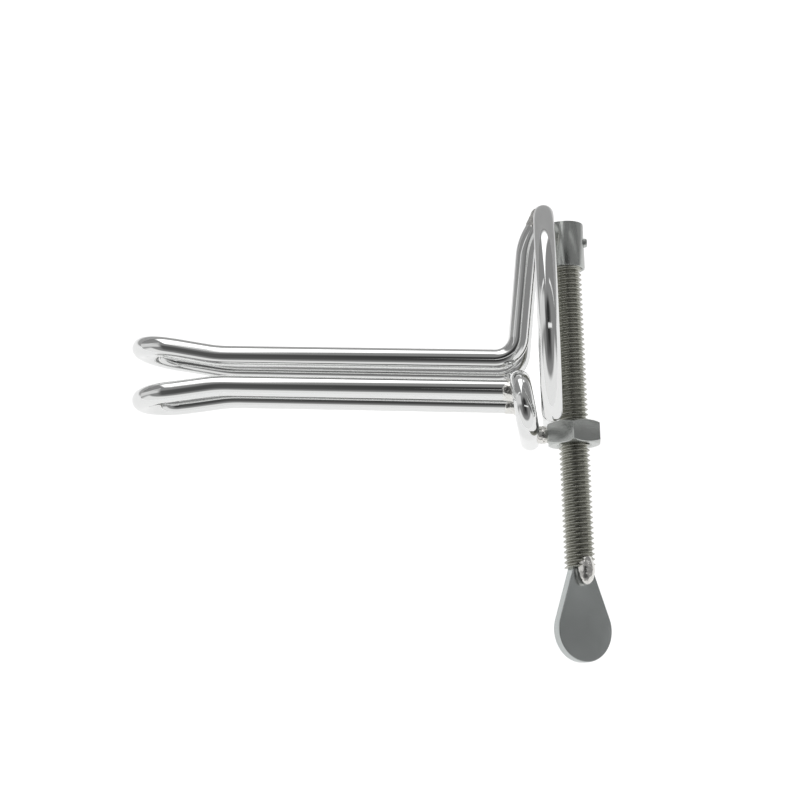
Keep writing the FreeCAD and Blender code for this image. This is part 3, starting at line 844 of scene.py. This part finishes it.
class SPECULUM_OT_beads(bpy.types.Operator):
    """Lay the weld and braze beads"""
    bl_idname = "speculum.beads"
    bl_label = "Welds and braze"

    def execute(self, context):
        sizes = context.scene.speculum_sizes
        lumps, grain = sizes.bead_lumps / MM, sizes.bead_grain / MM
        metal = bead_metal()
        top, bend = riser_corners()[:2]
        foot, leg = lower_foot(), blade_tip(-1)[0][0]
        for name, joint, before, replaced, body in (
            ("weld_risers", top, bend, "riser_welds", "upper_frame"),
            ("weld_loop", foot, leg, "loop_welds", "lower_frame"),
        ):
            bm = bmesh.new()
            for side in (1, -1):
                flip = Vector((1, 1, side))
                collar_bead(bm, joint * flip, before * flip, lumps * 0.6, grain, side + 3.0)
            settle(finish_mesh(bm, name, 60.0), replaced, body, metal)
        bm = bmesh.new()
        saddle = Vector((RING_X, RING_Y + RING_RADIUS - WIRE_RADIUS, 0))
        ball_bead(bm, saddle, (1.85, 2.4, 3.3), lumps, grain, 5.0)
        settle(finish_mesh(bm, "braze_sleeve", 60.0), "sleeve_braze", "upper_frame", metal)
        bm = bmesh.new()
        bar = LOOP_Y - LOOP_HEIGHT / 2 * math.cos(LOOP_LEAN)
        ball_bead(bm, Vector((-6.0, bar, 0)), (1.9, 1.7, 1.75), lumps * 0.7, grain, 6.0)
        settle(finish_mesh(bm, "braze_nut", 60.0), "nut_braze", "lower_frame", metal)
        bm = bmesh.new()
        face = Vector((math.sin(TAB_TURN), 0, math.cos(TAB_TURN)))
        spot = face * 1.75 + Vector((0, THREAD_END - 0.35, 0))
        ball_bead(bm, spot, (1.7, 3.05, 1.6), lumps * 0.45, grain * 2.2, 7.0)
        settle(finish_mesh(bm, "braze_tab", 60.0), "tab_braze", "spindle", metal)
        return {"FINISHED"}


# ---------------------------------------------------------------- stage

def camera_axes(studio):
    """Right, up and back of the camera, in the row's frame."""
    yaw, pitch, roll = studio.camera_yaw, studio.camera_pitch, studio.camera_roll
    back = Vector((math.sin(yaw) * math.cos(pitch), -math.sin(pitch), math.cos(yaw) * math.cos(pitch)))
    right = (-back).cross(Vector((0, 1, 0))).normalized()
    up = right.cross(-back)
    turned_right = right * math.cos(roll) + up * math.sin(roll)
    turned_up = up * math.cos(roll) - right * math.sin(roll)
    return turned_right, turned_up, back


LOOK_AT = Vector((0.00723, 0.0074, 0.0))


def build_camera(studio):
    right, up, back = camera_axes(studio)
    data = bpy.data.cameras.new("camera")
    data.lens = 72.0
    data.sensor_width = 36.0
    data.clip_start = 0.01
    data.clip_end = 20.0
    camera = bpy.data.objects.new("camera", data)
    turn = Matrix((right, up, back)).transposed().to_4x4()
    camera.matrix_world = Matrix.Translation(LOOK_AT + back * studio.camera_distance) @ turn
    bpy.context.scene.collection.objects.link(camera)
    bpy.context.scene.camera = camera


# Where the parts of the room lie, in degrees: lowest, highest and softness of the edge
OVERHEAD = ((-43.0, 9.0, 9.0), (-30.0, 26.0, 10.0))
STRAIGHT_ABOVE = ((-30.0, 14.0, 8.0), (-9.0, 14.0, 7.0))
TAB_BOARD = ((-72.0, 72.0, 10.0), (-30.0, 30.0, 5.0))
TIP_BOARD = ((-8.0, 19.0, 5.0), (-60.0, 60.0, 7.0))
SOFT_BOX = ((-23.0, 33.0, 4.0), (4.0, 120.0, 4.0))
SOFT_BOX_TOP, SOFT_BOX_SLOPE = (-120.0, 35.0, 6.0), 1.2
TUBE, TUBE_WIDE, TUBE_GAP = (30.5, 35.5, 0.8), (-75.0, 75.0, 2.0), (-29.0, 29.0, 2.0)
GLINT = ((-13.5, -9.0, 0.8), (-4.0, 38.0, 3.0))


def build_surroundings(studio):
    """A grey room, dark overhead: a soft box beyond the sleeve, pale boards beyond the tab and the tips."""
    world = bpy.data.worlds.new("studio_room")
    bpy.context.scene.world = world
    world.use_nodes = True
    tree = world.node_tree
    backdrop = tree.nodes["Background"]
    parts = node(tree, "ShaderNodeSeparateXYZ")
    join(tree, node(tree, "ShaderNodeTexCoord").outputs["Generated"], parts.inputs[0])
    x, y, z = parts.outputs

    def angle(first, second):
        return maths(tree, "ARCTAN2", first, second)

    def between(value, low, high, soft):
        """1 between two angles in degrees, with soft edges."""
        middle, half = math.radians((low + high) / 2), math.radians((high - low) / 2)
        away = maths(tree, "ABSOLUTE", maths(tree, "SUBTRACT", value, middle), None)
        edge = node(tree, "ShaderNodeMapRange", interpolation_type="SMOOTHSTEP")
        join(tree, away, edge.inputs["Value"])
        for socket, number in (("From Min", half - math.radians(soft)), ("From Max", half + math.radians(soft)),
                               ("To Min", 1.0), ("To Max", 0.0)):
            edge.inputs[socket].default_value = number
        return edge.outputs["Result"]

    def lay(light, brightness, mask):
        """Cover the light so far by another brightness where the mask is 1."""
        cover = node(tree, "ShaderNodeMix", data_type="FLOAT")
        join(tree, mask, cover.inputs[0])
        cover.inputs[3].default_value = brightness
        if isinstance(light, float):
            cover.inputs[2].default_value = light
        else:
            join(tree, light, cover.inputs[2])
        return cover.outputs[0]

    def patch(first, second, limits):
        """1 inside a patch of two angles."""
        return maths(tree, "MULTIPLY", between(first, *limits[0]), between(second, *limits[1]))

    height = maths(tree, "ARCSINE", z, None)
    along, across, turned = angle(y, z), angle(x, z), angle(x, y)
    beyond_tab = angle(x, maths(tree, "MULTIPLY", y, -1.0))
    beyond_tips = angle(z, maths(tree, "MULTIPLY", x, -1.0))
    over, lens = patch(along, across, OVERHEAD), patch(along, across, STRAIGHT_ABOVE)
    board = patch(beyond_tab, height, TAB_BOARD)
    side = patch(maths(tree, "ARCSINE", y, None), beyond_tips, TIP_BOARD)
    slant = maths(tree, "ADD", height, maths(tree, "MULTIPLY", turned, SOFT_BOX_SLOPE))
    box = maths(tree, "MULTIPLY", patch(turned, height, SOFT_BOX), between(slant, *SOFT_BOX_TOP))
    outer = maths(tree, "SUBTRACT", between(across, *TUBE_WIDE), between(across, *TUBE_GAP))
    tube = maths(tree, "MULTIPLY", between(along, *TUBE), outer)
    glint = patch(along, across, GLINT)
    light = lay(studio.room_grey, studio.room_dark, over)
    light = lay(light, studio.lens_dark, lens)
    light = lay(light, studio.low_light, board)
    light = lay(light, studio.side_light, side)
    for lamp in (tube, glint):
        light = lay(light, studio.lamp_light, lamp)
    light = lay(light, studio.soft_box, box)
    join(tree, light, backdrop.inputs["Color"])
    backdrop.inputs["Strength"].default_value = 1.0


def build_floor(studio):
    low, _ = cad_bounds
    bm = bmesh.new()
    bmesh.ops.create_grid(
        bm, x_segments=8, y_segments=8, size=3.0, matrix=Matrix.Translation((0, 0, low[2] - 0.0002))
    )
    mesh = bpy.data.meshes.new("floor")
    bm.to_mesh(mesh)
    bm.free()
    floor = bpy.data.objects.new("floor", mesh)
    bpy.context.scene.collection.objects.link(floor)
    material, tree, shader, place = new_material("pale_paper")
    fleck = node(tree, "ShaderNodeTexNoise", Scale=40.0, Detail=4.0)
    tone = node(tree, "ShaderNodeMix", data_type="RGBA")
    tone.inputs[6].default_value = (0.90, 0.90, 0.90, 1.0)
    tone.inputs[7].default_value = (0.93, 0.93, 0.93, 1.0)
    join(tree, place, fleck.inputs["Vector"])
    join(tree, fleck.outputs["Fac"], tone.inputs["Factor"])
    join(tree, tone.outputs[2], shader.inputs["Base Color"])
    shader.inputs["Roughness"].default_value = 0.9
    shader.inputs["Emission Color"].default_value = (1.0, 1.0, 1.0, 1.0)
    fade = node(tree, "ShaderNodeMapRange")
    for socket, number in (("From Min", 0.045), ("From Max", 0.065), ("To Min", studio.floor_near),
                           ("To Max", studio.floor_far)):
        fade.inputs[socket].default_value = number
    parts = node(tree, "ShaderNodeSeparateXYZ")
    join(tree, place, parts.inputs[0])
    join(tree, parts.outputs["Y"], fade.inputs["Value"])
    glow = node(tree, "ShaderNodeMix", data_type="FLOAT")
    join(tree, node(tree, "ShaderNodeLightPath").outputs["Is Camera Ray"], glow.inputs[0])
    join(tree, fade.outputs["Result"], glow.inputs[2])
    glow.inputs[3].default_value = studio.floor_glow
    join(tree, glow.outputs[0], shader.inputs["Emission Strength"])
    mesh.materials.append(material)


class SPECULUM_OT_stage(bpy.types.Operator):
    """Set up the pale floor, the soft light and the camera"""
    bl_idname = "speculum.stage"
    bl_label = "Stage"

    def execute(self, context):
        studio = context.scene.speculum_studio
        context.scene.view_settings.view_transform = "Standard"
        context.scene.view_settings.look = "None"
        build_camera(studio)
        build_surroundings(studio)
        build_floor(studio)
        return {"FINISHED"}


# ---------------------------------------------------------------- add-on

PIECE_OPERATORS = (
    SPECULUM_OT_blades, SPECULUM_OT_rings, SPECULUM_OT_screw, SPECULUM_OT_sleeve, SPECULUM_OT_nut,
    SPECULUM_OT_tab, SPECULUM_OT_beads, SPECULUM_OT_stage,
)
GROUPS = (
    ("speculum_sizes", SpeculumSizes), ("speculum_finish", SpeculumFinish), ("speculum_studio", SpeculumStudio),
)


class SPECULUM_PT_panel(bpy.types.Panel):
    """Buttons and settings of the speculum"""
    bl_idname = "SPECULUM_PT_panel"
    bl_label = "Wire speculum"
    bl_space_type = "VIEW_3D"
    bl_region_type = "UI"
    bl_category = "Speculum"

    def draw(self, context):
        for operator in PIECE_OPERATORS:
            self.layout.operator(operator.bl_idname)
        for name, group in GROUPS:
            box = self.layout.box()
            for setting in group.__annotations__:
                box.prop(getattr(context.scene, name), setting)


CLASSES = tuple(group for _, group in GROUPS) + PIECE_OPERATORS + (SPECULUM_PT_panel,)


def register():
    for cls in CLASSES:
        bpy.utils.register_class(cls)
    for name, group in GROUPS:
        setattr(bpy.types.Scene, name, bpy.props.PointerProperty(type=group))


def unregister():
    for name, _ in GROUPS:
        delattr(bpy.types.Scene, name)
    for cls in reversed(CLASSES):
        bpy.utils.unregister_class(cls)


def main():
    register()
    for operator in PIECE_OPERATORS:
        family, action = operator.bl_idname.split(".")
        getattr(getattr(bpy.ops, family), action)()


if __name__ == "__main__":
    main()
